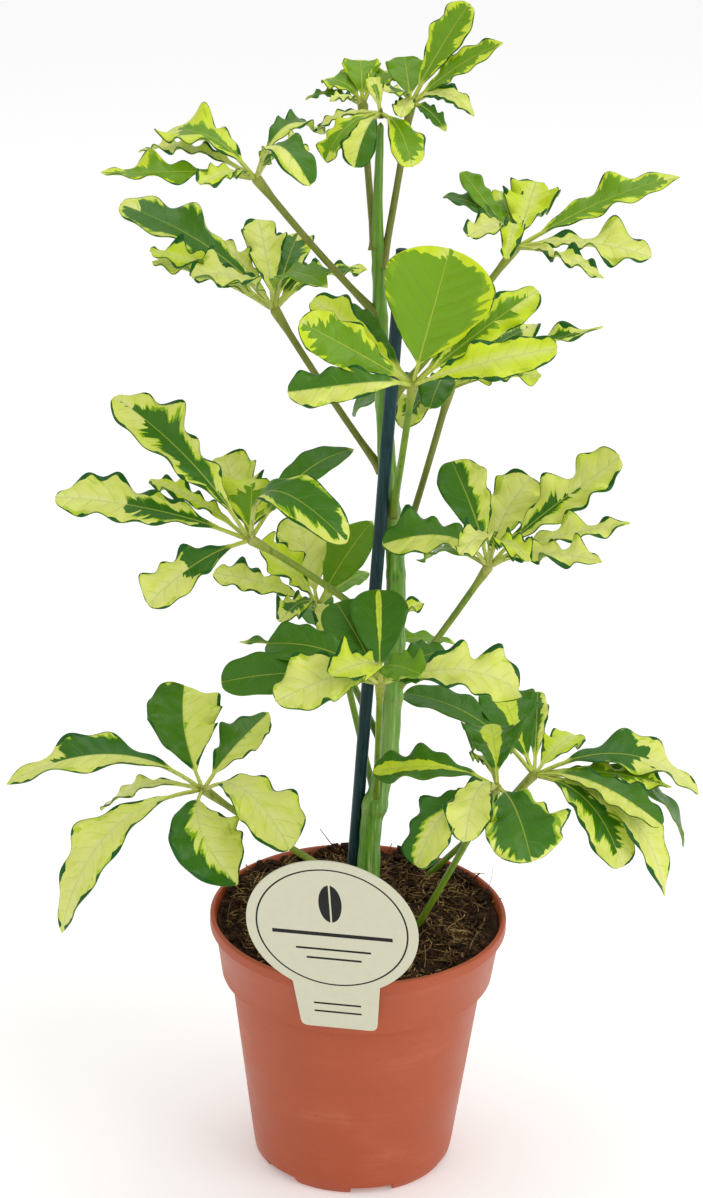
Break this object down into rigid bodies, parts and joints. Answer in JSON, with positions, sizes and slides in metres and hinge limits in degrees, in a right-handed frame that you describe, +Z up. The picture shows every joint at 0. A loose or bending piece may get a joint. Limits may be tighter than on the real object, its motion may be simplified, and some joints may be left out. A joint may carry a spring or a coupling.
{
  "type": "potted plant",
  "caption": "Variegated umbrella plant with a support cane, in a terracotta-coloured nursery pot with a plain label.",
  "frame": {"origin": "centre of the pot's underside, on the surface that the pot stands on", "axes": "+Z up along the pot's axis, +X to the right and -Y to the front, towards the side the label is on"},
  "size_m": [0.2793, 0.1583, 0.4864],
  "materials": {
    "pot_plastic": "satin",
    "potting_soil": "rough and fibrous",
    "green_stem": "smooth",
    "coated_cane": "satin coating",
    "label_plastic": "matte",
    "leaf_fresh": "glossy",
    "leaf_pale": "glossy",
    "leaf_deep": "glossy"
  },
  "bodies": {
    "root": {"pot": "pot_plastic", "soil": "potting_soil", "stem": "green_stem", "cane": "coated_cane", "label": "label_plastic", "leaf_top_whorl": "leaf_fresh", "leaf_top_left": "leaf_fresh", "leaf_top_right": "leaf_fresh", "leaf_upper_left": "leaf_fresh", "leaf_second_left": "leaf_deep", "leaf_upper_right": "leaf_pale", "leaf_center_front": "leaf_fresh", "leaf_center_right_back": "leaf_deep", "leaf_middle_left": "leaf_pale", "leaf_middle_left_back": "leaf_fresh", "leaf_low_back": "leaf_fresh", "leaf_middle_right": "leaf_pale", "leaf_low_centre": "leaf_deep", "leaf_lower_left": "leaf_pale", "leaf_lower_right_front": "leaf_deep", "leaf_lower_right_back": "leaf_deep"}
  },
  "joints": []
}
